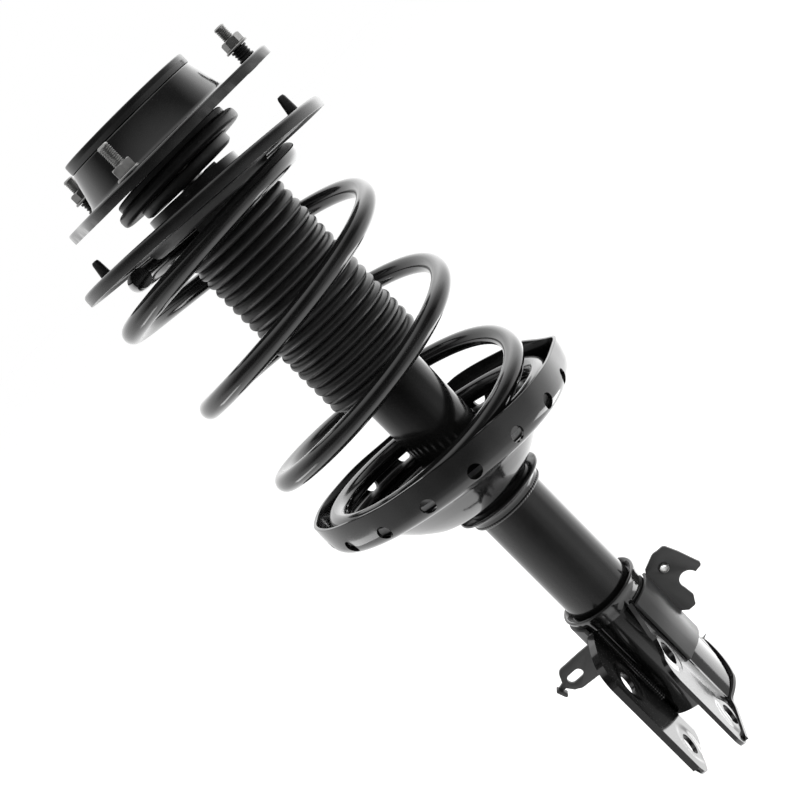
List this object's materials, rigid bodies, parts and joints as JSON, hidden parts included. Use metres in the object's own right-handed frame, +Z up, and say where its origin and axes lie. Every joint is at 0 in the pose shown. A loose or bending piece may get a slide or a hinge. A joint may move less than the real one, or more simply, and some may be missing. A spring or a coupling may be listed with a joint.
{
  "type": "strut assembly",
  "caption": "Front suspension strut with coil spring, dust boot, bearing top mount on studs, lower spring seat and a bolted knuckle bracket with hose and cable brackets.",
  "frame": {"origin": "where the damper axis meets the top face of the mount flange", "axes": "+Z up along the damper axis, +X towards the side that carries the hose bracket, -Y the way the two knuckle ears reach"},
  "size_m": [0.2003, 0.1991, 0.5769],
  "materials": {
    "black_paint": "gloss black stoved paint on steel",
    "spring_coat": "satin black powder coat on spring wire",
    "zinc": "bright zinc plating",
    "bare_steel": "turned or pressed bare steel",
    "hard_chrome": "ground hard chrome",
    "rubber": "matte black moulded rubber",
    "bearing_plastic": "black glass-filled nylon",
    "foam": "closed-cell polyurethane foam"
  },
  "bodies": {
    "top_mount": {"mount_shell": "black_paint", "mount_rubber": "rubber", "mount_sleeve": "bare_steel", "mount_stud_1": "zinc", "mount_stud_2": "zinc", "mount_stud_3": "zinc", "stud_nut_1": "zinc", "stud_nut_2": "zinc", "stud_nut_3": "zinc", "stud_collar_2": "bearing_plastic", "stud_collar_3": "bearing_plastic", "rod_washer": "zinc", "rod_nut": "zinc", "bearing_cover": "bearing_plastic", "piston_rod": "hard_chrome", "rebound_stop": "rubber", "piston": "bare_steel", "piston_nut": "zinc", "bump_stop": "foam"},
    "bearing_cage": {"ball_cage": "bare_steel"},
    "spring_top": {"bearing_lower_race": "bare_steel", "upper_spring_seat": "black_paint", "upper_insulator": "rubber", "dust_boot": "rubber", "coil_spring": "spring_coat"},
    "strut": {"strut_tube": "black_paint", "tube_bottom_cap": "black_paint", "tube_end_cap": "black_paint", "pressure_cylinder": "bare_steel", "base_valve": "bare_steel", "rod_guide": "bare_steel", "rod_seal": "rubber", "lower_spring_seat": "black_paint", "lower_seat_pad": "rubber", "seat_support_collar": "black_paint", "knuckle_bracket": "black_paint", "hose_bracket": "black_paint", "hose_bracket_insert": "zinc", "cable_bracket": "black_paint"}
  },
  "joints": [
    {"name": "steer", "type": "hinge", "parent": "top_mount", "child": "spring_top", "pos_m": [0, 0, -0.0219], "axis": [0, 0, 1], "range_deg": [-38, 38]},
    {"name": "cage_roll", "type": "hinge", "parent": "top_mount", "child": "bearing_cage", "pos_m": [0, 0, -0.0219], "axis": [0, 0, 1], "range_deg": [-19.5, 19.5]},
    {"name": "strut_slide", "type": "slide", "parent": "spring_top", "child": "strut", "axis": [0, 0, 1], "range_m": [0, 0.085], "stiffness_N_per_m": 26000, "springref_m": -0.04, "deforming": ["coil_spring", "dust_boot"]}
  ],
  "couplings": [
    {"joint": "cage_roll", "follows": "steer", "ratio": 0.5}
  ]
}
